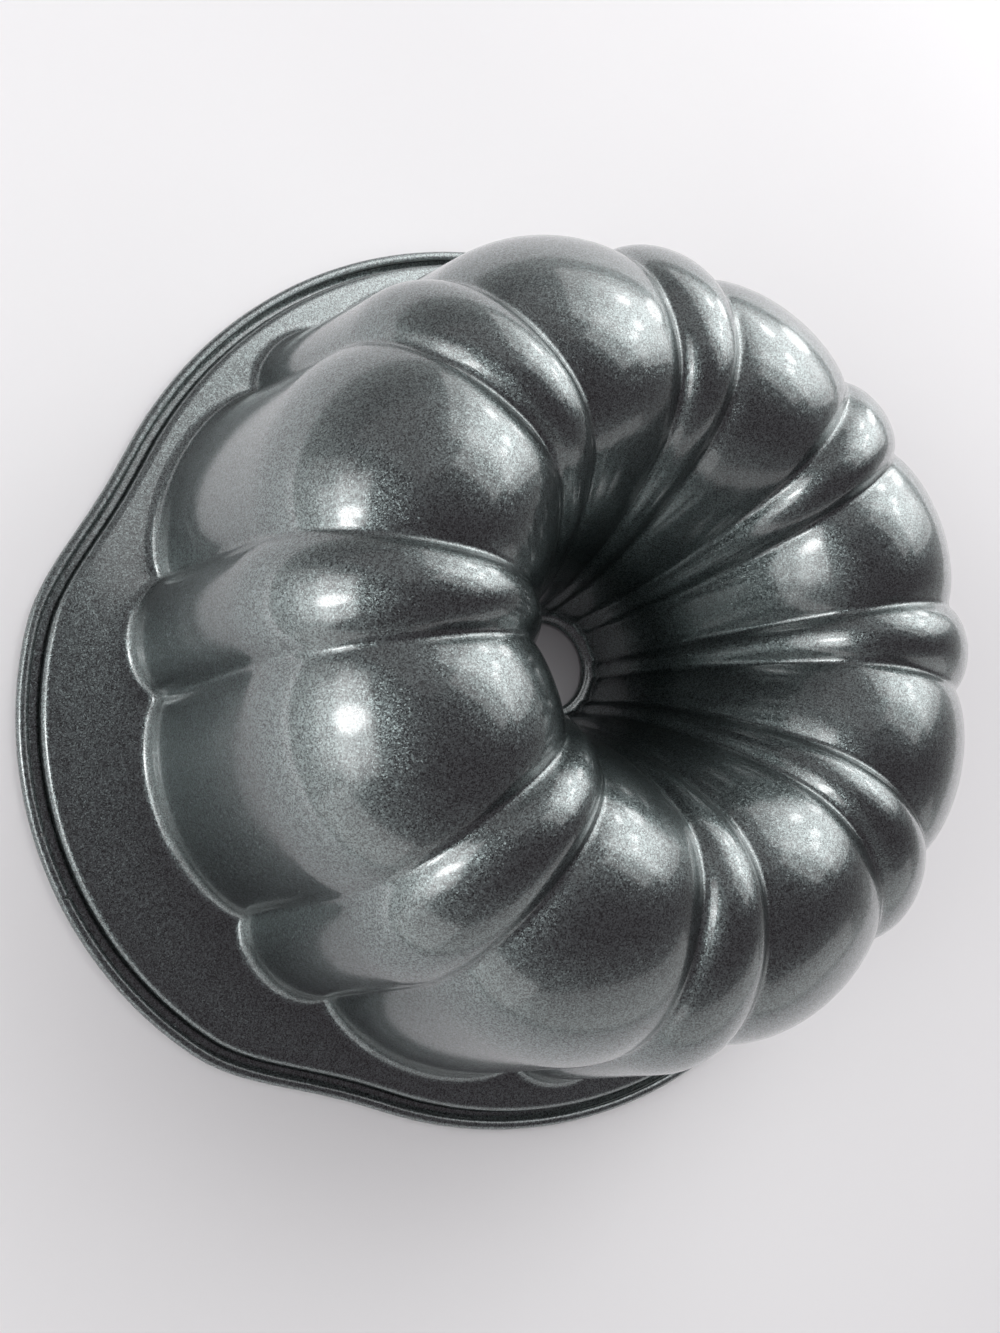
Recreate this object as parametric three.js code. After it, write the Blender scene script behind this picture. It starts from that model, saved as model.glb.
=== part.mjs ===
// A fluted tube pan, pressed from one sheet and rolled round a wire at its rim.
// Millimetres, +Z up. The pan stands upside down, as it is stored: the underside of its rim is z = 0,
// the centre tube's axis is Z, and the two lugs lie on the X axis.

import * as THREE from 'three';

const degree = Math.PI / 180;

// Sheet and rim wire
const sheetThickness = 0.8;
const wireDiameter = 1.4;
const wireClearance = 0.2;
const wireJointGap = 0.8;
const wireJointAzimuth = 3 * degree;

// Creases between the lobes, on the outer face, from the flange over the crest into the tube
const flangeHeight = 5.6;
const wallFootRadius = 111.6;
const crestRadius = 64;
const crestRise = 77.2;
const outerCrownRadius = 37;
const innerCrownRadius = 23.5;
const tubeEndRadius = 17.8;
const tubeEndDrop = 0.7;
const tubeEndDraft = 7.5 * degree;
const tubeEndFillet = 3.2;

// Round hole in the tube's end, with its edge turned down
const holeRadius = 13.2;
const lipInsideBend = 0.4;

// Flutes: wide and narrow lobes take turns, each a round arch from crease to crease
const lobePairs = 8;
const narrowLobeAngle = 15.2 * degree;
const wideArchHalfArc = 63 * degree;
const narrowArchHalfArc = 60 * degree;
const creaseHalfWidth = 1.2;

// How far the lobes stand out from the creases, along the profile
const depthAtFoot = 5.5;
const depthAtWallTop = 5.1;
const depthAtShoulder = 3.8;
const depthAtCrest = 5.8;
const depthAtTubeMouth = 2.9;
const depthInTube = 1.3;
const depthAtTubeEnd = 1.1;

// Flange and rolled rim, from the wall outwards
const footFillet = 3.4;
const flangeLand = 1.9;
const rimShoulderRadius = 2.4;
const gutterWidth = 1.6;
const gutterFillet = 0.9;
const curlEndAngle = 120 * degree;

// Lugs: the flange reaches out on both sides, with an end of its own radius that fades into the circle
const lugReach = 14.9;
const lugEndRadius = 107;
const lugFadeStart = 23.2 * degree;
const lugFadeEnd = 46.5 * degree;

// Facets along each stretch of the sheet, and across each lobe
const lipSteps = 2;
const tubeEndSteps = 2;
const tubeSteps = 4;
const innerCrownSteps = 4;
const outerCrownSteps = 6;
const wallSteps = 2;
const footSteps = 2;
const rimBendSteps = 2;
const curlSteps = 5;
const wideLobeSteps = 6;
const narrowLobeSteps = 4;
const wireSides = 6;

const pairAngle = 2 * Math.PI / lobePairs;
const narrowHalfAngle = narrowLobeAngle / 2;
const wideHalfAngle = (pairAngle - narrowLobeAngle) / 2;
const curlInsideRadius = wireDiameter / 2 + wireClearance;
const curlOutsideRadius = curlInsideRadius + sheetThickness;
const stepInset = 2 * curlOutsideRadius + gutterWidth;

// Angle at which a line from the point (across, down) off a circle's centre touches the circle
function tangentAngle(across, down, radius) {
  return Math.atan2(down, -across) - Math.acos(-radius / Math.hypot(across, down));
}

// The creases' profile as a wall line and four arcs, each tangent to the one before. The normal leans
// back from outwards (0) over upwards (90 degrees) to inwards (180 degrees).
function makeProfile() {
  const foot = new THREE.Vector2(wallFootRadius, flangeHeight);
  const crestHeight = flangeHeight + crestRise;
  const outerCentre = new THREE.Vector2(crestRadius, crestHeight - outerCrownRadius);
  const innerCentre = new THREE.Vector2(crestRadius, crestHeight - innerCrownRadius);
  const wallLean = tangentAngle(foot.x - outerCentre.x, outerCentre.y - foot.y, outerCrownRadius);
  const wallTop = pointOnArc(outerCentre, outerCrownRadius, wallLean);

  const endLean = Math.PI - tubeEndDraft;
  const tubeEnd = new THREE.Vector2(tubeEndRadius, flangeHeight - tubeEndDrop);
  const fromInner = tubeEnd.clone().sub(innerCentre);
  const pastInner = fromInner.dot(directionAt(endLean)) - innerCrownRadius;
  const tubeRadius = (fromInner.lengthSq() - innerCrownRadius ** 2) / (2 * pastInner);
  const tubeCentre = pointOnArc(tubeEnd, -tubeRadius, endLean);
  const mouthLean = innerCentre.clone().sub(tubeCentre).angle();
  const filletCentre = pointOnArc(tubeEnd, tubeEndFillet, endLean);

  return [
    lineStretch(foot, wallTop, wallLean),
    arcStretch(outerCentre, outerCrownRadius, wallLean, Math.PI / 2),
    arcStretch(innerCentre, innerCrownRadius, Math.PI / 2, mouthLean),
    arcStretch(tubeCentre, tubeRadius, mouthLean, endLean),
    arcStretch(filletCentre, -tubeEndFillet, endLean, Math.PI / 2),
  ];
}

function directionAt(angle) {
  return new THREE.Vector2(Math.cos(angle), Math.sin(angle));
}

function pointOnArc(centre, radius, angle) {
  return centre.clone().addScaledVector(directionAt(angle), radius);
}

function lineStretch(start, end, lean) {
  const at = (share) => ({ point: start.clone().lerp(end, share), normal: directionAt(lean) });
  return { length: start.distanceTo(end), at };
}

function arcStretch(centre, radius, startLean, endLean) {
  const at = (share) => {
    const lean = THREE.MathUtils.lerp(startLean, endLean, share);
    return { point: pointOnArc(centre, radius, lean), normal: directionAt(lean) };
  };
  return { length: Math.abs(radius * (endLean - startLean)), at };
}

const profile = makeProfile();
const [wall, outerCrown, innerCrown, tube] = profile;

// Flute depths at distances along the profile, joined by smooth steps
const wallTopDistance = wall.length;
const crestDistance = wallTopDistance + outerCrown.length;
const mouthDistance = crestDistance + innerCrown.length;
const tubeEndDistance = mouthDistance + tube.length;
const profileLength = profile.reduce((sum, stretch) => sum + stretch.length, 0);
const depthStations = [
  [0, depthAtFoot],
  [wallTopDistance, depthAtWallTop],
  [wallTopDistance + outerCrown.length / 2, depthAtShoulder],
  [crestDistance, depthAtCrest],
  [mouthDistance, depthAtTubeMouth],
  [mouthDistance + tube.length / 2, depthInTube],
  [tubeEndDistance, depthAtTubeEnd],
  [profileLength, 0],
];

function fluteDepthAt(distance) {
  const last = depthStations.length - 1;
  const next = depthStations.findIndex(([place]) => place > distance);
  const upper = next < 0 ? last : Math.max(next, 1);
  const [startPlace, startDepth] = depthStations[upper - 1];
  const [endPlace, endDepth] = depthStations[upper];
  const share = THREE.MathUtils.smoothstep(distance, startPlace, endPlace);
  return THREE.MathUtils.lerp(startDepth, endDepth, share);
}

function profileAt(distance) {
  let rest = distance;
  for (const stretch of profile.slice(0, -1)) {
    if (rest <= stretch.length) {
      return stretch.at(rest / stretch.length);
    }
    rest -= stretch.length;
  }
  const lastStretch = profile[profile.length - 1];
  return lastStretch.at(rest / lastStretch.length);
}

// A lobe's arch: 1 along its middle, 0 at its creases, with its slope for each radian around the pan
function archAt(offset, halfAngle, halfArc) {
  const across = offset / halfAngle * Math.sin(halfArc);
  const up = Math.sqrt(1 - across ** 2);
  const rise = 1 - Math.cos(halfArc);
  return {
    height: (up - Math.cos(halfArc)) / rise,
    slope: -across * Math.sin(halfArc) / (halfAngle * up * rise),
  };
}

// The section of the flutes at one azimuth, with each crease eased by a cubic
function fluteShape(azimuth, radius) {
  const fromWide = Math.abs(azimuth - pairAngle * Math.round(azimuth / pairAngle));
  const pastCrease = fromWide - wideHalfAngle;
  const ease = Math.min(creaseHalfWidth / radius, narrowHalfAngle / 2);
  if (pastCrease <= -ease) {
    return archAt(fromWide, wideHalfAngle, wideArchHalfArc).height;
  }
  if (pastCrease >= ease) {
    return archAt(pairAngle / 2 - fromWide, narrowHalfAngle, narrowArchHalfArc).height;
  }
  const before = archAt(wideHalfAngle - ease, wideHalfAngle, wideArchHalfArc);
  const after = archAt(narrowHalfAngle - ease, narrowHalfAngle, narrowArchHalfArc);
  const handle = 2 * ease / 3;
  const curve = new THREE.CubicBezierCurve(
    new THREE.Vector2(0, before.height),
    new THREE.Vector2(1 / 3, before.height + handle * before.slope),
    new THREE.Vector2(2 / 3, after.height + handle * after.slope),
    new THREE.Vector2(1, after.height),
  );
  return curve.getPoint((pastCrease + ease) / (2 * ease)).y;
}

function aroundAxis(radius, azimuth, height) {
  return new THREE.Vector3(radius * Math.cos(azimuth), radius * Math.sin(azimuth), height);
}

function outerFace(distance, azimuth) {
  const { point, normal } = profileAt(distance);
  const lift = fluteDepthAt(distance) * fluteShape(azimuth, point.x);
  return aroundAxis(point.x + lift * normal.x, azimuth, point.y + lift * normal.y);
}

// Each station gives the sheet's outer point and outward normal at one azimuth.
function flutedStation(distance) {
  const alongStep = 0.01;
  const aroundStep = 0.0002;
  return (azimuth) => {
    const along = outerFace(distance + alongStep, azimuth).sub(outerFace(distance - alongStep, azimuth));
    const around = outerFace(distance, azimuth + aroundStep).sub(outerFace(distance, azimuth - aroundStep));
    return { point: outerFace(distance, azimuth), normal: around.cross(along).normalize() };
  };
}

function roundStation(radius, height, lean) {
  return (azimuth) => ({
    point: aroundAxis(radius, azimuth, height),
    normal: aroundAxis(Math.cos(lean), azimuth, Math.sin(lean)),
  });
}

// The corner of the wall and the flange: the wall's line, followed down to the flange
function footCorner(azimuth) {
  const high = outerFace(footFillet, azimuth);
  const low = outerFace(0, azimuth);
  return high.clone().lerp(low, (high.z - flangeHeight) / (high.z - low.z));
}

// Fillet between the fluted wall and the flange, as a quadratic curve from one to the other
function footStation(share) {
  const wallSide = flutedStation(footFillet);
  const up = new THREE.Vector3(0, 0, 1);
  return (azimuth) => {
    const top = wallSide(azimuth);
    const corner = footCorner(azimuth);
    const out = corner.clone().add(aroundAxis(footFillet, azimuth, 0));
    const curve = new THREE.QuadraticBezierCurve3(top.point, corner, out);
    return { point: curve.getPoint(share), normal: top.normal.lerp(up, share).normalize() };
  };
}

// The flange is narrowest in front of the middle of a wide lobe, which azimuth 0 is.
const lobeFootRadius = footCorner(0).x;
const rimRadius = lobeFootRadius + footFillet + flangeLand + rimShoulderRadius + stepInset;

function rimEdge(azimuth) {
  const fromLug = Math.abs(azimuth - Math.PI * Math.round(azimuth / Math.PI));
  const endOffset = rimRadius + lugReach - lugEndRadius;
  const sideways = endOffset * Math.sin(fromLug);
  const lugEnd = endOffset * Math.cos(fromLug) + Math.sqrt(lugEndRadius ** 2 - sideways ** 2);
  const fade = THREE.MathUtils.smoothstep(fromLug, lugFadeStart, lugFadeEnd);
  return aroundAxis(THREE.MathUtils.lerp(lugEnd, rimRadius, fade), azimuth, 0);
}

// Stations of the rim lie at an inset from its outer edge, square to that edge.
function rimPoint(inset, height, azimuth) {
  const outward = rimOutward(azimuth);
  return rimEdge(azimuth).addScaledVector(outward, -inset).setZ(height);
}

function rimOutward(azimuth) {
  const aroundStep = 0.001;
  const ahead = rimEdge(azimuth + aroundStep).sub(rimEdge(azimuth - aroundStep));
  return new THREE.Vector3(ahead.y, -ahead.x, 0).normalize();
}

function rimStation(inset, height, lean) {
  return (azimuth) => ({
    point: rimPoint(inset, height, azimuth),
    normal: rimOutward(azimuth).multiplyScalar(Math.cos(lean)).setZ(Math.sin(lean)),
  });
}

// A bend of the rim is round about a centre. Its outer face is hollow where the radius is negative.
function bendStations(leans, centreInset, centreHeight, radius) {
  return leans.map((lean) => rimStation(
    centreInset - radius * Math.cos(lean),
    centreHeight + radius * Math.sin(lean),
    lean,
  ));
}

function evenly(start, end, steps) {
  return Array.from({ length: steps + 1 }, (_, step) => THREE.MathUtils.lerp(start, end, step / steps));
}

// Stations along the sheet, from the hole's lip over the crest to the free edge of the rolled rim
function lipStations() {
  const bend = lipInsideBend + sheetThickness;
  const capHeight = profileAt(profileLength).point.y;
  return evenly(Math.PI, Math.PI / 2, lipSteps).map((lean) => roundStation(
    holeRadius + bend + bend * Math.cos(lean),
    capHeight - bend + bend * Math.sin(lean),
    lean,
  ));
}

function bodyStations() {
  const distances = [
    ...evenly(profileLength, tubeEndDistance, tubeEndSteps).slice(0, -1),
    ...evenly(tubeEndDistance, mouthDistance, tubeSteps).slice(0, -1),
    ...evenly(mouthDistance, crestDistance, innerCrownSteps).slice(0, -1),
    ...evenly(crestDistance, wallTopDistance, outerCrownSteps).slice(0, -1),
    ...evenly(wallTopDistance, footFillet, wallSteps).slice(0, -1),
  ];
  return [...distances.map(flutedStation), ...evenly(0, 1, footSteps).map(footStation)];
}

function rimStations() {
  const shoulderInset = stepInset + rimShoulderRadius;
  const gutterInset = stepInset - gutterFillet;
  const over = evenly(Math.PI / 2, 0, rimBendSteps);
  const back = evenly(0, Math.PI / 2, rimBendSteps);
  const round = evenly(Math.PI / 2, Math.PI + curlEndAngle, curlSteps);
  return [
    ...bendStations(over, shoulderInset, flangeHeight - rimShoulderRadius, rimShoulderRadius),
    ...bendStations(back, gutterInset, sheetThickness + gutterFillet, -gutterFillet),
    ...bendStations(round, curlOutsideRadius, curlOutsideRadius, -curlInsideRadius),
  ];
}

// Azimuths at which the sheet is cut: every crease and every lobe's middle are among them.
function lobeAzimuths() {
  const azimuths = [];
  for (let pair = 0; pair < lobePairs; pair += 1) {
    const middle = pair * pairAngle;
    const wideEdge = middle + wideHalfAngle;
    azimuths.push(...evenly(middle - wideHalfAngle, wideEdge, wideLobeSteps).slice(0, -1));
    azimuths.push(...evenly(wideEdge, wideEdge + narrowLobeAngle, narrowLobeSteps).slice(0, -1));
  }
  return azimuths;
}

// Skin over rows of points, where each row closes on itself. The rows close into a loop as well, or
// else the first and last rows are capped.
function skin(rows, rowsClose) {
  const width = rows[0].length;
  const triangles = [];
  const rowSteps = rowsClose ? rows.length : rows.length - 1;
  for (let row = 0; row < rowSteps; row += 1) {
    const next = (row + 1) % rows.length;
    for (let place = 0; place < width; place += 1) {
      const beside = (place + 1) % width;
      const [a, b] = [row * width + place, next * width + place];
      const [c, d] = [next * width + beside, row * width + beside];
      triangles.push(a, b, c, a, c, d);
    }
  }
  if (!rowsClose) {
    const lastRow = (rows.length - 1) * width;
    for (let place = 1; place < width - 1; place += 1) {
      triangles.push(0, place, place + 1);
      triangles.push(lastRow, lastRow + place + 1, lastRow + place);
    }
  }
  const geometry = new THREE.BufferGeometry().setFromPoints(rows.flat());
  geometry.setIndex(triangles);
  geometry.computeVertexNormals();
  return geometry;
}

function panBody() {
  const azimuths = lobeAzimuths();
  const outer = [];
  const inner = [];
  for (const station of [...lipStations(), ...bodyStations(), ...rimStations()]) {
    const cuts = azimuths.map(station);
    outer.push(cuts.map(({ point }) => point));
    inner.push(cuts.map(({ point, normal }) => point.clone().addScaledVector(normal, -sheetThickness)));
  }
  const coating = new THREE.MeshStandardMaterial({ color: '#3b3d3f', roughness: 0.36, metalness: 0.55 });
  const mesh = new THREE.Mesh(skin([...outer, ...inner.reverse()], true), coating);
  mesh.name = 'pan_body';
  return mesh;
}

// The wire runs once round the rim inside the curl, and its two ends nearly meet.
function rimWire() {
  const halfGap = wireJointGap / (2 * rimRadius);
  const start = wireJointAzimuth + halfGap;
  const end = wireJointAzimuth + 2 * Math.PI - halfGap;
  const cuts = lobeAzimuths()
    .map((azimuth) => start + THREE.MathUtils.euclideanModulo(azimuth - start, 2 * Math.PI))
    .filter((azimuth) => azimuth > start + halfGap && azimuth < end - halfGap);
  const azimuths = [start, ...cuts.toSorted((a, b) => a - b), end];
  const corners = evenly(0, 2 * Math.PI, wireSides).slice(0, -1);
  const rows = azimuths.map((azimuth) => corners.map((corner) => rimPoint(
    curlOutsideRadius - wireDiameter / 2 * Math.cos(corner),
    curlOutsideRadius + wireDiameter / 2 * Math.sin(corner),
    azimuth,
  )));
  const steel = new THREE.MeshStandardMaterial({ color: '#8f908e', roughness: 0.4, metalness: 1 });
  const mesh = new THREE.Mesh(skin(rows, false), steel);
  mesh.name = 'rim_wire';
  return mesh;
}

const flutedTubePan = new THREE.Group();
flutedTubePan.add(panBody(), rimWire());

export default flutedTubePan;
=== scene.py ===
"""A fluted tube pan of dark coated sheet, upside down on a pale floor."""

import math

import bpy
import numpy as np
from mathutils import Matrix, Vector


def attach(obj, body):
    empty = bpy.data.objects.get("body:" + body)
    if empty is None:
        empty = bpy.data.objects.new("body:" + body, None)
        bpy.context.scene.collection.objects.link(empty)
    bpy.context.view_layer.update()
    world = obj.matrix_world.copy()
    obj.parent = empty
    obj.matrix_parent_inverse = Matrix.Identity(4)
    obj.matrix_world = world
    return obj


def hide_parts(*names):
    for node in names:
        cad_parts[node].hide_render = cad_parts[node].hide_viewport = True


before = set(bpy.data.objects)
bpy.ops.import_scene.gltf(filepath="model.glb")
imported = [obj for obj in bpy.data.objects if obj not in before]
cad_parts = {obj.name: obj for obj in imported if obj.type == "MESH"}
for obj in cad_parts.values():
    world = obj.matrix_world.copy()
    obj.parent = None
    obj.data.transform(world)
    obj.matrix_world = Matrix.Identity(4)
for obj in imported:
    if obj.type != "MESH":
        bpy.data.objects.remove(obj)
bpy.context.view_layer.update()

# Lengths below are millimetres, and Blender's are metres.
MM = 0.001

# Sheet and rim wire
SHEET = 0.8
WIRE_DIAMETER = 1.4
WIRE_CLEARANCE = 0.2
WIRE_JOINT_GAP = 0.8
WIRE_JOINT_AZIMUTH = math.radians(3)

# Creases between the lobes, on the outer face, from the flange over the crest into the tube
FLANGE_HEIGHT = 5.6
WALL_FOOT_RADIUS = 111.6
CREST_RADIUS = 64
CREST_RISE = 77.2
OUTER_CROWN_RADIUS = 37
INNER_CROWN_RADIUS = 23.5
TUBE_END_RADIUS = 17.8
TUBE_END_DROP = 0.7
TUBE_END_DRAFT = math.radians(7.5)
TUBE_END_FILLET = 3.2

# Round hole in the tube's end, with its edge turned down
HOLE_RADIUS = 13.2
LIP_INSIDE_BEND = 0.4

# Flutes: wide and narrow lobes take turns, each a round arch from crease to crease
LOBE_PAIRS = 8
NARROW_LOBE_ANGLE = math.radians(15.2)
WIDE_ARCH_HALF_ARC = math.radians(63)
NARROW_ARCH_HALF_ARC = math.radians(60)
CREASE_HALF_WIDTH = 1.2

# How far the lobes stand out from the creases, along the profile
DEPTH_AT_FOOT = 5.5
DEPTH_AT_WALL_TOP = 5.1
DEPTH_AT_SHOULDER = 3.8
DEPTH_AT_CREST = 5.8
DEPTH_AT_TUBE_MOUTH = 2.9
DEPTH_IN_TUBE = 1.3
DEPTH_AT_TUBE_END = 1.1

# Flange and rolled rim, from the wall outwards
FOOT_FILLET = 3.4
FLANGE_LAND = 1.9
RIM_SHOULDER_RADIUS = 2.4
GUTTER_WIDTH = 1.6
GUTTER_FILLET = 0.9
CURL_END_ANGLE = math.radians(120)

# Lugs: the flange reaches out on both sides, with an end of its own radius that fades into the circle
LUG_REACH = 14.9
LUG_END_RADIUS = 107
LUG_FADE_START = math.radians(23.2)
LUG_FADE_END = math.radians(46.5)

# Nicks in the curl's free edge, and how far that edge wanders, in long and short waves round the rim
NICK_AZIMUTHS = (math.radians(-3.2), math.radians(3.1))
NICK_HALF_WIDTH = math.radians(0.35)
NICK_DEPTH = math.radians(55)
EDGE_WANDER = math.radians(3)
EDGE_LONG_WAVES = 7
EDGE_SHORT_WAVES = 17
EDGE_WAVE_SHIFT = 1

# Quads along each stretch of the sheet and across each lobe and nick, and sides of the wire and the floor
LIP_STEPS = 6
CAP_STEPS = 2
TUBE_END_STEPS = 8
TUBE_STEPS = 36
INNER_CROWN_STEPS = 28
OUTER_CROWN_STEPS = 44
WALL_STEPS = 18
FOOT_STEPS = 8
FLANGE_STEPS = 4
SHOULDER_STEPS = 8
GUTTER_FILLET_STEPS = 5
CURL_STEPS = 24
EDGE_STEPS = 4
WIDE_LOBE_STEPS = 28
NARROW_LOBE_STEPS = 20
NICK_STEPS = 8
WIRE_SIDES = 12
FLOOR_SIDES = 72

# Coating: metallic flakes of many tones, how far they tilt, and the clear coat over them
FLAKE_SIZE = 0.26
FLAKE_TILT = 0.24
FLAKE_DARK = (0.028, 0.034, 0.034, 1)
FLAKE_PALE = (0.262, 0.315, 0.313, 1)
FLAKE_ROUGHNESS = 0.37
TOP_COAT_ROUGHNESS = 0.13
TOP_COAT_IOR = 1.9

# Wire: drawn steel with faint scale
SCALE_WAVELENGTH = 0.8
STEEL_DARK = (0.42, 0.42, 0.41, 1)
STEEL_PALE = (0.66, 0.66, 0.65, 1)
STEEL_LEAST_ROUGHNESS = 0.3
STEEL_MOST_ROUGHNESS = 0.5

# Floor: how far it reaches from the pan's axis, and its faint clouds
FLOOR_RADIUS = 1000
FLOOR_WAVELENGTH = 180
FLOOR_DARK = (0.78, 0.78, 0.79, 1)
FLOOR_PALE = (0.82, 0.82, 0.83, 1)
FLOOR_ROUGHNESS = 0.9
FLOOR_SPECULAR = 0.1

# Lights and room: how far the lights stand from the pan's axis, and the room's tones
LIGHT_DISTANCE = 1400
OVERHEAD_TONE = (0.13, 0.108, 0.12, 1)
HORIZON_TONE = (0.38, 0.38, 0.38, 1)
HORIZON_FALL = 4

# Camera: where it stands, a point on its axis, and a direction that is upwards in the picture
CAMERA_PLACE = (149.51, -14.23, 254.88)
CAMERA_AIM = (34.86, -6.39, 40)
CAMERA_UP = (-0.325, -0.935, 0.139)
PHOTO_HEIGHT_PIXELS = 1333
FOCAL_PIXELS = 978.7
SENSOR_WIDTH = 36
CAMERA_CLIP_START = 10

PAIR_ANGLE = 2 * math.pi / LOBE_PAIRS
NARROW_HALF_ANGLE = NARROW_LOBE_ANGLE / 2
WIDE_HALF_ANGLE = (PAIR_ANGLE - NARROW_LOBE_ANGLE) / 2
CURL_INSIDE_RADIUS = WIRE_DIAMETER / 2 + WIRE_CLEARANCE
CURL_OUTSIDE_RADIUS = CURL_INSIDE_RADIUS + SHEET
STEP_INSET = 2 * CURL_OUTSIDE_RADIUS + GUTTER_WIDTH


def smoothstep(low, high, value):
    """Eases from 0 at the low value to 1 at the high one."""
    share = np.clip((value - low) / (high - low), 0, 1)
    return share * share * (3 - 2 * share)


def direction(angle):
    """Unit vector in a profile's plane, for an angle from outwards towards upwards."""
    return np.stack((np.cos(angle), np.sin(angle)), axis=-1)


def unit(vectors):
    return vectors / np.linalg.norm(vectors, axis=-1, keepdims=True)


def line_stretch(start, end, lean):
    """A straight stretch of the profile, as its length and its points and leans at shares of it."""
    length = np.linalg.norm(end - start)
    return length, lambda share: (start + np.multiply.outer(share, end - start), np.full_like(share, lean))


def arc_stretch(centre, radius, start_lean, end_lean):
    """A round stretch of the profile. The radius is negative where the outer face is hollow."""
    def at(share):
        lean = start_lean + share * (end_lean - start_lean)
        return centre + radius * direction(lean), lean
    return abs(radius * (end_lean - start_lean)), at


def make_profile():
    """The creases' profile as a wall line and four tangent arcs. The normal leans from outwards (0)
    over upwards (90 degrees) to inwards (180 degrees)."""
    foot = np.array([WALL_FOOT_RADIUS, FLANGE_HEIGHT])
    crest_height = FLANGE_HEIGHT + CREST_RISE
    outer_centre = np.array([CREST_RADIUS, crest_height - OUTER_CROWN_RADIUS])
    inner_centre = np.array([CREST_RADIUS, crest_height - INNER_CROWN_RADIUS])
    across, down = foot[0] - outer_centre[0], outer_centre[1] - foot[1]
    wall_lean = math.atan2(down, -across) - math.acos(-OUTER_CROWN_RADIUS / math.hypot(across, down))
    wall_top = outer_centre + OUTER_CROWN_RADIUS * direction(wall_lean)

    end_lean = math.pi - TUBE_END_DRAFT
    tube_end = np.array([TUBE_END_RADIUS, FLANGE_HEIGHT - TUBE_END_DROP])
    from_inner = tube_end - inner_centre
    past_inner = from_inner @ direction(end_lean) - INNER_CROWN_RADIUS
    tube_radius = (from_inner @ from_inner - INNER_CROWN_RADIUS ** 2) / (2 * past_inner)
    tube_centre = tube_end - tube_radius * direction(end_lean)
    to_inner = inner_centre - tube_centre
    mouth_lean = math.atan2(to_inner[1], to_inner[0])
    fillet_centre = tube_end + TUBE_END_FILLET * direction(end_lean)
    return [
        line_stretch(foot, wall_top, wall_lean),
        arc_stretch(outer_centre, OUTER_CROWN_RADIUS, wall_lean, math.pi / 2),
        arc_stretch(inner_centre, INNER_CROWN_RADIUS, math.pi / 2, mouth_lean),
        arc_stretch(tube_centre, tube_radius, mouth_lean, end_lean),
        arc_stretch(fillet_centre, -TUBE_END_FILLET, end_lean, math.pi / 2),
    ]


PROFILE = make_profile()
PROFILE_BREAKS = np.concatenate(([0], np.cumsum([length for length, _ in PROFILE])))
WALL_TOP, CREST, TUBE_MOUTH, TUBE_END, PROFILE_LENGTH = PROFILE_BREAKS[1:]
DEPTH_STATIONS = [
    (0, DEPTH_AT_FOOT),
    (WALL_TOP, DEPTH_AT_WALL_TOP),
    ((WALL_TOP + CREST) / 2, DEPTH_AT_SHOULDER),
    (CREST, DEPTH_AT_CREST),
    (TUBE_MOUTH, DEPTH_AT_TUBE_MOUTH),
    ((TUBE_MOUTH + TUBE_END) / 2, DEPTH_IN_TUBE),
    (TUBE_END, DEPTH_AT_TUBE_END),
    (PROFILE_LENGTH, 0),
]


def profile_at(distance):
    """Points and leans of the creases' profile at distances along it."""
    points = np.zeros((len(distance), 2))
    leans = np.zeros(len(distance))
    stretch_of = np.clip(np.searchsorted(PROFILE_BREAKS, distance, side="right") - 1, 0, len(PROFILE) - 1)
    for index, (length, at) in enumerate(PROFILE):
        mine = stretch_of == index
        points[mine], leans[mine] = at((distance[mine] - PROFILE_BREAKS[index]) / length)
    return points, leans


def flute_depth(distance):
    """How far the lobes stand out at distances along the profile."""
    depth = np.full_like(distance, DEPTH_STATIONS[0][1])
    for (start, start_depth), (end, end_depth) in zip(DEPTH_STATIONS, DEPTH_STATIONS[1:]):
        depth += (end_depth - start_depth) * smoothstep(start, end, distance)
    return depth


def arch(offset, half_angle, half_arc):
    """A lobe's arch: 1 along its middle, 0 at its creases, with its slope for each radian round the pan."""
    across = offset / half_angle * math.sin(half_arc)
    up = np.sqrt(1 - across ** 2)
    rise = 1 - math.cos(half_arc)
    return (up - math.cos(half_arc)) / rise, -across * math.sin(half_arc) / (half_angle * up * rise)


def flute_shape(azimuth, radius):
    """The section of the flutes, with each crease eased by a cubic."""
    from_wide = np.abs(azimuth - PAIR_ANGLE * np.round(azimuth / PAIR_ANGLE))
    past_crease = from_wide - WIDE_HALF_ANGLE
    ease = np.minimum(CREASE_HALF_WIDTH / radius, NARROW_HALF_ANGLE / 2)
    wide, _ = arch(np.minimum(from_wide, WIDE_HALF_ANGLE), WIDE_HALF_ANGLE, WIDE_ARCH_HALF_ARC)
    from_narrow = np.minimum(PAIR_ANGLE / 2 - from_wide, NARROW_HALF_ANGLE)
    narrow, _ = arch(from_narrow, NARROW_HALF_ANGLE, NARROW_ARCH_HALF_ARC)
    before, before_slope = arch(WIDE_HALF_ANGLE - ease, WIDE_HALF_ANGLE, WIDE_ARCH_HALF_ARC)
    after, after_slope = arch(NARROW_HALF_ANGLE - ease, NARROW_HALF_ANGLE, NARROW_ARCH_HALF_ARC)
    share = np.clip((past_crease + ease) / (2 * ease), 0, 1)
    rest = 1 - share
    handle = 2 * ease / 3
    eased = (
        rest ** 3 * before
        + 3 * rest ** 2 * share * (before + handle * before_slope)
        + 3 * rest * share ** 2 * (after + handle * after_slope)
        + share ** 3 * after
    )
    return np.where(past_crease <= -ease, wide, np.where(past_crease >= ease, narrow, eased))


def around_axis(radius, azimuth, height):
    x = radius * np.cos(azimuth)
    y = radius * np.sin(azimuth)
    return np.stack(np.broadcast_arrays(x, y, height), axis=-1)


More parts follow.
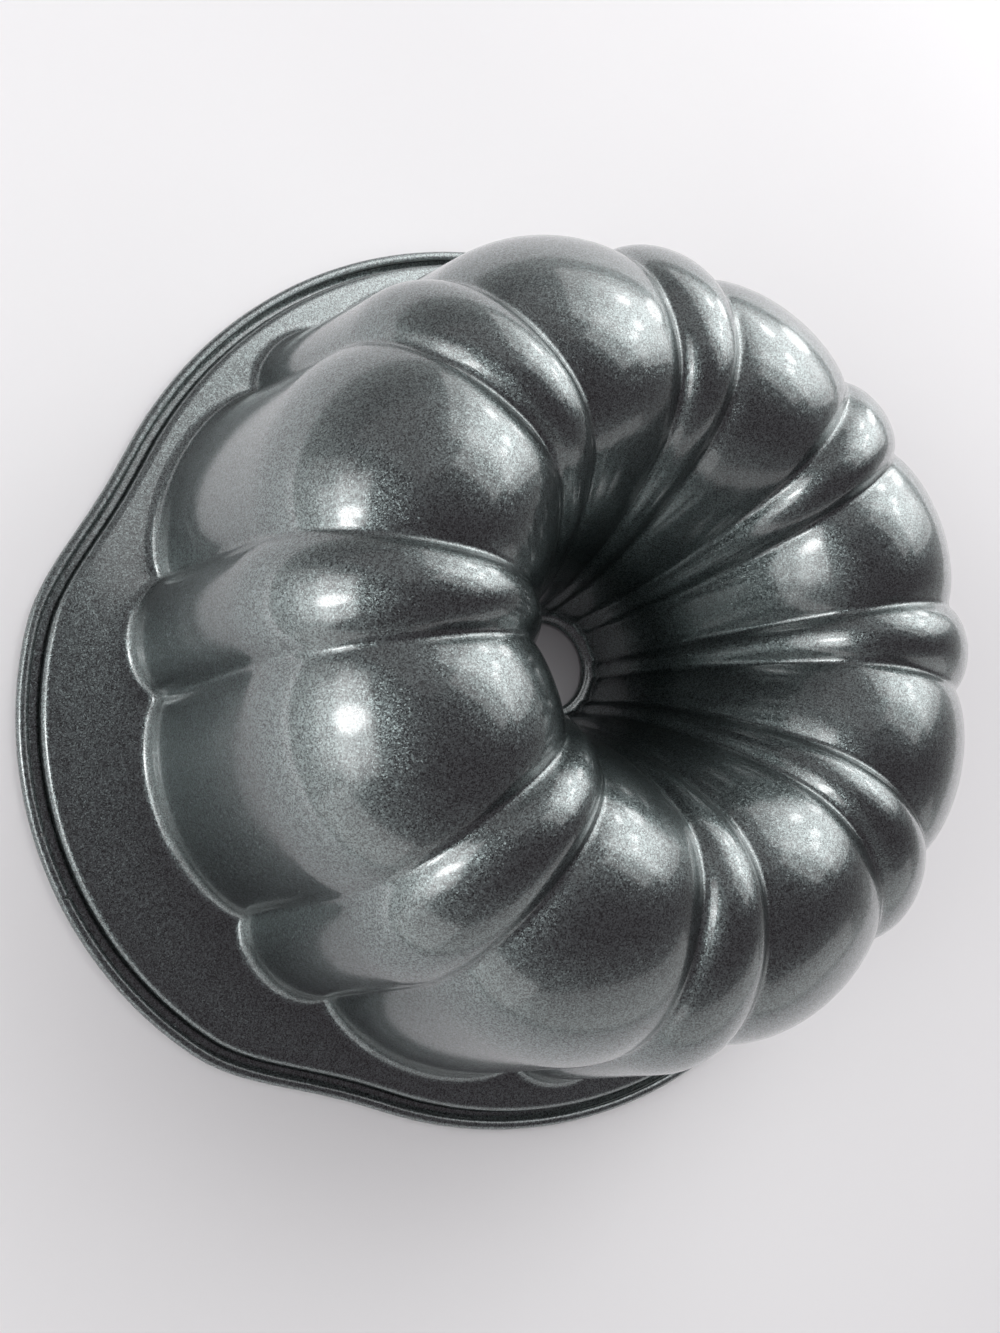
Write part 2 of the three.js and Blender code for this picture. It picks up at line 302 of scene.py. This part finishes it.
def outer_face(distance, azimuth):
    """Points of the sheet's outer face: a row for each distance along the profile."""
    points, leans = profile_at(distance)
    radius = points[:, :1]
    normal = direction(leans)
    lift = flute_depth(distance)[:, None] * flute_shape(azimuth[None, :], radius)
    height = points[:, 1:] + lift * normal[:, 1:]
    return around_axis(radius + lift * normal[:, :1], azimuth[None, :], height)


# The functions below that end in _rows give rows of outer points and of outward normals, with a column for
# each azimuth.
def join_rows(parts):
    return [np.concatenate(rows) for rows in zip(*parts)]


def fluted_rows(distance, azimuth):
    """Rows at distances along the profile. Their normals are worked out over small steps both ways."""
    along_step = 0.01
    around_step = 0.0002
    along = outer_face(distance + along_step, azimuth) - outer_face(distance - along_step, azimuth)
    around = outer_face(distance, azimuth + around_step) - outer_face(distance, azimuth - around_step)
    return outer_face(distance, azimuth), unit(np.cross(around, along))


def lip_rows(azimuth):
    """From the turned-down edge of the hole to the flat ring round it."""
    bend = LIP_INSIDE_BEND + SHEET
    cap_radius, cap_height = profile_at(np.array([PROFILE_LENGTH]))[0][0]
    leans = np.linspace(math.pi, math.pi / 2, LIP_STEPS + 1)
    radius = HOLE_RADIUS + bend + bend * np.cos(leans)
    height = cap_height - bend + bend * np.sin(leans)
    flat = np.linspace(radius[-1], cap_radius, CAP_STEPS + 1)[1:-1]
    radius = np.concatenate((radius, flat))[:, None]
    height = np.concatenate((height, np.full_like(flat, cap_height)))[:, None]
    leans = np.concatenate((leans, np.full_like(flat, math.pi / 2)))[:, None]
    return around_axis(radius, azimuth, height), around_axis(np.cos(leans), azimuth, np.sin(leans))


def body_rows(azimuth):
    """From the tube's end over the crest to the foot of the wall."""
    distance = np.concatenate((
        np.linspace(PROFILE_LENGTH, TUBE_END, TUBE_END_STEPS, endpoint=False),
        np.linspace(TUBE_END, TUBE_MOUTH, TUBE_STEPS, endpoint=False),
        np.linspace(TUBE_MOUTH, CREST, INNER_CROWN_STEPS, endpoint=False),
        np.linspace(CREST, WALL_TOP, OUTER_CROWN_STEPS, endpoint=False),
        np.linspace(WALL_TOP, FOOT_FILLET, WALL_STEPS, endpoint=False),
    ))
    return fluted_rows(distance, azimuth)


def foot_corner(azimuth):
    """The corner of the wall and the flange: the wall's line, followed down to the flange."""
    low, high = outer_face(np.array([0, FOOT_FILLET]), azimuth)
    share = (high[:, 2:] - FLANGE_HEIGHT) / (high[:, 2:] - low[:, 2:])
    return high + share * (low - high)


# The flange is narrowest in front of the middle of a wide lobe, which azimuth 0 is.
LOBE_FOOT_RADIUS = foot_corner(np.zeros(1))[0, 0]
RIM_RADIUS = LOBE_FOOT_RADIUS + FOOT_FILLET + FLANGE_LAND + RIM_SHOULDER_RADIUS + STEP_INSET


def foot_rows(azimuth):
    """Fillet between the fluted wall and the flange, as a quadratic curve from one to the other."""
    top, wall_normal = fluted_rows(np.array([FOOT_FILLET]), azimuth)
    corner = foot_corner(azimuth)
    out = corner + around_axis(FOOT_FILLET, azimuth, 0)
    share = np.linspace(0, 1, FOOT_STEPS + 1)[:, None, None]
    points = (1 - share) ** 2 * top + 2 * share * (1 - share) * corner + share ** 2 * out
    return points, unit((1 - share) * wall_normal + share * np.array([0, 0, 1]))


def rim_edge(azimuth):
    """The rim's outer edge in plan, and its outward direction."""
    def edge(angle):
        from_lug = np.abs(angle - math.pi * np.round(angle / math.pi))
        end_offset = RIM_RADIUS + LUG_REACH - LUG_END_RADIUS
        sideways = end_offset * np.sin(from_lug)
        lug_end = end_offset * np.cos(from_lug) + np.sqrt(LUG_END_RADIUS ** 2 - sideways ** 2)
        fade = smoothstep(LUG_FADE_START, LUG_FADE_END, from_lug)
        return around_axis(lug_end + fade * (RIM_RADIUS - lug_end), angle, 0)
    around_step = 0.001
    ahead = edge(azimuth + around_step) - edge(azimuth - around_step)
    return edge(azimuth), unit(np.stack((ahead[:, 1], -ahead[:, 0], ahead[:, 2]), axis=-1))


def rim_points(inset, height, azimuth):
    """Points at insets from the rim's outer edge."""
    edge, outward = rim_edge(azimuth)
    points = edge - np.asarray(inset)[..., None] * outward
    points[..., 2] = height
    return points


def bend_rows(leans, centre_inset, centre_height, radius, azimuth):
    """A round bend of the rim. The radius is negative where the outer face is hollow."""
    leans = np.broadcast_to(leans, (len(leans), len(azimuth)))
    _, outward = rim_edge(azimuth)
    inset = centre_inset - radius * np.cos(leans)
    height = centre_height + radius * np.sin(leans)
    points = rim_points(inset, height, azimuth)
    normals = np.cos(leans)[..., None] * outward
    normals[..., 2] = np.sin(leans)
    return points, normals


def flange_rows(azimuth):
    """The flat flange between the fillet at the wall and the shoulder of the rim."""
    start = foot_rows(azimuth)[0][-1]
    end = rim_points(np.full(len(azimuth), STEP_INSET + RIM_SHOULDER_RADIUS), FLANGE_HEIGHT, azimuth)
    share = np.linspace(0, 1, FLANGE_STEPS + 1)[1:-1, None, None]
    points = start + share * (end - start)
    return points, np.broadcast_to(np.array([0.0, 0.0, 1.0]), points.shape)


def curl_end(azimuth):
    """Angle that the curl is rolled past its outer side. Its free edge wanders and is nicked."""
    waves = np.sin(EDGE_LONG_WAVES * azimuth + EDGE_WAVE_SHIFT) + np.sin(EDGE_SHORT_WAVES * azimuth)
    angle = CURL_END_ANGLE + EDGE_WANDER * waves / 2
    for place in NICK_AZIMUTHS:
        off = np.remainder(azimuth - place + math.pi, 2 * math.pi) - math.pi
        angle = angle - NICK_DEPTH * (1 - smoothstep(0, NICK_HALF_WIDTH, np.abs(off)))
    return angle


def rim_rows(azimuth):
    """From the shoulder at the flange's edge down into the gutter and round the curl."""
    shoulder = np.linspace(math.pi / 2, 0, SHOULDER_STEPS + 1)[:, None]
    gutter = np.linspace(0, math.pi / 2, GUTTER_FILLET_STEPS + 1)[:, None]
    share = np.linspace(0, 1, CURL_STEPS + 1)[:, None]
    curl = math.pi / 2 + share * (math.pi / 2 + curl_end(azimuth))
    return join_rows((
        bend_rows(shoulder, STEP_INSET + RIM_SHOULDER_RADIUS, FLANGE_HEIGHT - RIM_SHOULDER_RADIUS,
                  RIM_SHOULDER_RADIUS, azimuth),
        bend_rows(gutter, STEP_INSET - GUTTER_FILLET, SHEET + GUTTER_FILLET, -GUTTER_FILLET, azimuth),
        bend_rows(curl, CURL_OUTSIDE_RADIUS, CURL_OUTSIDE_RADIUS, -CURL_INSIDE_RADIUS, azimuth),
    ))


def lobe_azimuths():
    """Columns of the sheet: close together at the creases and the nicks, wider across the lobes."""
    def across(steps):
        return np.sin(np.linspace(-math.pi / 2, math.pi / 2, steps + 1))[:-1]
    pair = np.concatenate((
        WIDE_HALF_ANGLE * across(WIDE_LOBE_STEPS),
        PAIR_ANGLE / 2 + NARROW_HALF_ANGLE * across(NARROW_LOBE_STEPS),
    ))
    azimuths = np.concatenate([pair + index * PAIR_ANGLE for index in range(LOBE_PAIRS)])
    beside_nick = 1.5
    nick_steps = np.concatenate(([-beside_nick], np.linspace(-1, 1, NICK_STEPS + 1), [beside_nick]))
    nicks = np.concatenate([place + nick_steps * NICK_HALF_WIDTH for place in NICK_AZIMUTHS])
    return np.sort(np.concatenate((azimuths, nicks)))


def round_edge(outer, inner, beside):
    """Rows that round off a free edge of the sheet, from its outer to its inner face."""
    middle = (outer + inner) / 2
    up = (outer - inner) / 2
    out = unit(middle - beside) * np.linalg.norm(up, axis=-1, keepdims=True)
    turns = np.linspace(0, math.pi, EDGE_STEPS + 2)[1:-1, None, None]
    return middle + np.cos(turns) * up + np.sin(turns) * out


def sheet_loop(azimuth):
    """Closed loop of points round the sheet: outer face, curl's edge, inner face and lip's edge."""
    stretches = (lip_rows, body_rows, foot_rows, flange_rows, rim_rows)
    outer, normals = join_rows([stretch(azimuth) for stretch in stretches])
    inner = outer - SHEET * normals
    middle = (outer + inner) / 2
    curl_edge = round_edge(outer[-1], inner[-1], middle[-2])
    lip_edge = round_edge(outer[0], inner[0], middle[1])
    return np.concatenate((outer, curl_edge, inner[::-1], lip_edge[::-1]))


def loop_faces(rows, columns, rows_close, columns_close):
    """Quads between rows and columns of points, which close on themselves where said."""
    row = np.arange(rows if rows_close else rows - 1)[:, None]
    column = np.arange(columns if columns_close else columns - 1)[None, :]
    next_row = (row + 1) % rows
    next_column = (column + 1) % columns
    corners = (
        row * columns + column,
        next_row * columns + column,
        next_row * columns + next_column,
        row * columns + next_column,
    )
    return np.stack(np.broadcast_arrays(*corners), axis=-1).reshape(-1, 4)


def smooth_piece(name, points, faces, material):
    """A smooth mesh of points in millimetres that rides on the pan's one body."""
    mesh = bpy.data.meshes.new(name)
    mesh.from_pydata((points.reshape(-1, 3) * MM).tolist(), [], faces)
    mesh.polygons.foreach_set("use_smooth", np.ones(len(mesh.polygons), dtype=bool))
    mesh.materials.append(material)
    mesh.validate()
    mesh.update()
    piece = bpy.data.objects.new(name, mesh)
    bpy.context.scene.collection.objects.link(piece)
    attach(piece, "root")
    return piece


def make_pan(material):
    points = sheet_loop(lobe_azimuths())
    faces = loop_faces(points.shape[0], points.shape[1], True, True).tolist()
    pan = smooth_piece("fluted_shell", points, faces, material)
    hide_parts("pan_body")


def make_wire(material):
    """A round wire along the middle of the curl, with flat ends at its joint."""
    half_gap = WIRE_JOINT_GAP / (2 * RIM_RADIUS)
    start = WIRE_JOINT_AZIMUTH + half_gap
    end = WIRE_JOINT_AZIMUTH + 2 * math.pi - half_gap
    azimuth = np.linspace(start, end, LOBE_PAIRS * (WIDE_LOBE_STEPS + NARROW_LOBE_STEPS))
    corners = np.linspace(0, 2 * math.pi, WIRE_SIDES, endpoint=False)[:, None]
    across = np.broadcast_to(np.cos(corners), (WIRE_SIDES, len(azimuth)))
    points = rim_points(
        CURL_OUTSIDE_RADIUS - WIRE_DIAMETER / 2 * across,
        CURL_OUTSIDE_RADIUS + WIRE_DIAMETER / 2 * np.sin(corners),
        azimuth,
    )
    faces = loop_faces(WIRE_SIDES, len(azimuth), True, False).tolist()
    first = [side * len(azimuth) for side in range(WIRE_SIDES)]
    last = [corner + len(azimuth) - 1 for corner in first]
    wire = smooth_piece("rim_wire_round", points, faces + [first, last[::-1]], material)
    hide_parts("rim_wire")


class Nodes:
    """Short hand for a material's node tree."""

    def __init__(self, name):
        self.material = bpy.data.materials.new(name)
        self.material.use_nodes = True
        self.tree = self.material.node_tree
        self.shader = self.tree.nodes["Principled BSDF"]
        self.place = self.tree.nodes.new("ShaderNodeTexCoord").outputs["Object"]

    def add(self, kind, links=None, **settings):
        """A node with its settings, and with sockets that are linked or set."""
        node = self.tree.nodes.new(kind)
        for key, value in settings.items():
            setattr(node, key, value)
        for socket, value in (links or {}).items():
            if isinstance(value, bpy.types.NodeSocket):
                self.tree.links.new(value, node.inputs[socket])
            else:
                node.inputs[socket].default_value = value
        return node

    def noise(self, wavelength_mm, detail=2):
        scale = 1 / (wavelength_mm * MM)
        return self.add("ShaderNodeTexNoise", {"Vector": self.place, "Scale": scale, "Detail": detail})

    def vector(self, operation, first, second=None):
        node = self.add("ShaderNodeVectorMath", {0: first}, operation=operation)
        if isinstance(second, bpy.types.NodeSocket):
            self.tree.links.new(second, node.inputs[1])
        elif operation == "SCALE":
            node.inputs["Scale"].default_value = second
        elif second is not None:
            node.inputs[1].default_value = second
        return node.outputs["Vector"]

    def spread(self, value, low, high, from_low=0.3, from_high=0.7):
        """A noise's value, which keeps mostly between from_low and from_high, spread from low to high."""
        links = {"Value": value, "From Min": from_low, "From Max": from_high, "To Min": low, "To Max": high}
        return self.add("ShaderNodeMapRange", links).outputs["Result"]

    def base_tone(self, share, dark, pale):
        """Base colour that goes from dark to pale with the share."""
        tone = self.add("ShaderNodeMix", {"Factor": share, "A": dark, "B": pale}, data_type="RGBA")
        self.tree.links.new(tone.outputs["Result"], self.shader.inputs["Base Color"])


def coating_material():
    """Dark grey non-stick coating: flakes, each with its own tone and tilt, under a clear top coat."""
    nodes = Nodes("nonstick_coating")
    flakes = nodes.add("ShaderNodeTexVoronoi", {"Vector": nodes.place, "Scale": 1 / (FLAKE_SIZE * MM)})
    shade = nodes.add("ShaderNodeTexWhiteNoise", {"Vector": flakes.outputs["Position"]})
    nodes.base_tone(shade.outputs["Value"], FLAKE_DARK, FLAKE_PALE)
    off = nodes.vector("SUBTRACT", flakes.outputs["Color"], (0.5, 0.5, 0.5))
    tilt = nodes.vector("SCALE", off, FLAKE_TILT)
    surface = nodes.add("ShaderNodeNewGeometry").outputs["Normal"]
    tilted = nodes.vector("NORMALIZE", nodes.vector("ADD", surface, tilt))
    nodes.tree.links.new(tilted, nodes.shader.inputs["Normal"])
    nodes.shader.inputs["Metallic"].default_value = 1
    nodes.shader.inputs["Roughness"].default_value = FLAKE_ROUGHNESS
    nodes.shader.inputs["Coat Weight"].default_value = 1
    nodes.shader.inputs["Coat Roughness"].default_value = TOP_COAT_ROUGHNESS
    nodes.shader.inputs["Coat IOR"].default_value = TOP_COAT_IOR
    return nodes.material


def wire_material():
    """Plain drawn steel wire with faint scale."""
    nodes = Nodes("steel_wire")
    scale = nodes.noise(SCALE_WAVELENGTH, detail=4).outputs["Fac"]
    nodes.base_tone(scale, STEEL_DARK, STEEL_PALE)
    roughness = nodes.spread(scale, STEEL_LEAST_ROUGHNESS, STEEL_MOST_ROUGHNESS)
    nodes.tree.links.new(roughness, nodes.shader.inputs["Roughness"])
    nodes.shader.inputs["Metallic"].default_value = 1
    return nodes.material


def floor_material():
    """Pale matt floor with faint clouds of tone."""
    nodes = Nodes("pale_floor")
    nodes.base_tone(nodes.noise(FLOOR_WAVELENGTH).outputs["Fac"], FLOOR_DARK, FLOOR_PALE)
    nodes.shader.inputs["Roughness"].default_value = FLOOR_ROUGHNESS
    nodes.shader.inputs["Specular IOR Level"].default_value = FLOOR_SPECULAR
    return nodes.material


def make_floor():
    """A plain round floor under the pan."""
    azimuth = np.linspace(0, 2 * math.pi, FLOOR_SIDES, endpoint=False)
    edge = around_axis(FLOOR_RADIUS * MM, azimuth, 0)
    mesh = bpy.data.meshes.new("floor")
    mesh.from_pydata(edge.tolist(), [], [list(range(len(edge)))])
    mesh.materials.append(floor_material())
    floor = bpy.data.objects.new("floor", mesh)
    bpy.context.scene.collection.objects.link(floor)


def area_light(name, azimuth, elevation, width, height, radiance,
               distance=LIGHT_DISTANCE, mirrored=True, rounded=False):
    """A panel or a round lamp that faces the pan. Its power follows from how bright its face is."""
    light = bpy.data.lights.new(name, "AREA")
    light.shape = "ELLIPSE" if rounded else "RECTANGLE"
    light.size = width * MM
    light.size_y = height * MM
    face_area = light.size * light.size_y * (math.pi / 4 if rounded else 1)
    light.energy = radiance * math.pi * face_area
    azimuth, elevation = math.radians(azimuth), math.radians(elevation)
    back = Vector((math.cos(azimuth) * math.cos(elevation), math.sin(azimuth) * math.cos(elevation),
                   math.sin(elevation)))
    lamp = bpy.data.objects.new(name, light)
    lamp.location = back * distance * MM
    lamp.rotation_euler = back.to_track_quat("Z", "Y").to_euler()
    lamp.visible_glossy = mirrored
    bpy.context.scene.collection.objects.link(lamp)


def make_world():
    """A room that is pale along the horizon and dark overhead."""
    room = bpy.data.worlds.new("room")
    room.use_nodes = True
    tree = room.node_tree
    place = tree.nodes.new("ShaderNodeTexCoord")
    split = tree.nodes.new("ShaderNodeSeparateXYZ")
    down = tree.nodes.new("ShaderNodeMath")
    down.operation = "SUBTRACT"
    down.use_clamp = True
    down.inputs[0].default_value = 1
    fall = tree.nodes.new("ShaderNodeMath")
    fall.operation = "POWER"
    fall.inputs[1].default_value = HORIZON_FALL
    tone = tree.nodes.new("ShaderNodeMix")
    tone.data_type = "RGBA"
    tone.inputs["A"].default_value = OVERHEAD_TONE
    tone.inputs["B"].default_value = HORIZON_TONE
    tree.links.new(place.outputs["Generated"], split.inputs["Vector"])
    tree.links.new(split.outputs["Z"], down.inputs[1])
    tree.links.new(down.outputs["Value"], fall.inputs[0])
    tree.links.new(fall.outputs["Value"], tone.inputs["Factor"])
    tree.links.new(tone.outputs["Result"], tree.nodes["Background"].inputs["Color"])
    bpy.context.scene.world = room


def make_lights():
    """Each light's azimuth and elevation in degrees, width and height in millimetres, and brightness.
    The fills light the floor and aren't mirrored in the pan."""
    area_light("window", -149, 34, 2000, 1450, 1.05)
    area_light("window_middle", -150, 35, 1400, 1100, 0.8)
    area_light("window_core", -151, 31, 1000, 850, 0.6)
    area_light("window_top", -150, 64, 1200, 800, 0.95)
    area_light("lamp_right", -150, 37, 200, 200, 4, rounded=True)
    area_light("lamp_right_low", -154, 10, 290, 360, 2.8, rounded=True)
    area_light("lamp_right_side", -136, 24, 190, 190, 4, rounded=True)
    area_light("lamp_right_high", -153, 47, 200, 200, 3, rounded=True)
    area_light("lamp_left", -18, 31, 290, 290, 6, rounded=True)
    area_light("lamp_glow", -18, 27, 1000, 550, 1)
    area_light("left_band", -19, 32, 1300, 340, 1.4)
    area_light("left_wall", -20, 16, 1700, 800, 0.33)
    area_light("left_wall_top", -20, 21, 1700, 550, 0.3)
    area_light("front_wall_left", 32, 12, 1100, 520, 0.8)
    area_light("front_wall_right", 92, 12, 2200, 520, 0.38)
    area_light("back_wall", -85, 45, 1100, 1200, 0.2)
    area_light("right_fill", 178, 24, 1400, 800, 1.6, distance=1300, mirrored=False)
    area_light("left_fill", -15, 12, 1400, 300, 7, distance=1000, mirrored=False)


def make_camera():
    """The photo's camera."""
    place = Vector(CAMERA_PLACE) * MM
    back = (place - Vector(CAMERA_AIM) * MM).normalized()
    right = Vector(CAMERA_UP).cross(back).normalized()
    up = back.cross(right)
    camera = bpy.data.cameras.new("camera")
    camera.sensor_width = SENSOR_WIDTH
    camera.lens = FOCAL_PIXELS / PHOTO_HEIGHT_PIXELS * SENSOR_WIDTH
    camera.clip_start = CAMERA_CLIP_START * MM
    holder = bpy.data.objects.new("camera", camera)
    turn = Matrix((right, up, back)).transposed()
    holder.matrix_world = Matrix.Translation(place) @ turn.to_4x4()
    bpy.context.scene.collection.objects.link(holder)
    bpy.context.scene.camera = holder


make_pan(coating_material())
make_wire(wire_material())
make_floor()
make_world()
make_lights()
make_camera()
bpy.context.scene.view_settings.view_transform = "Standard"
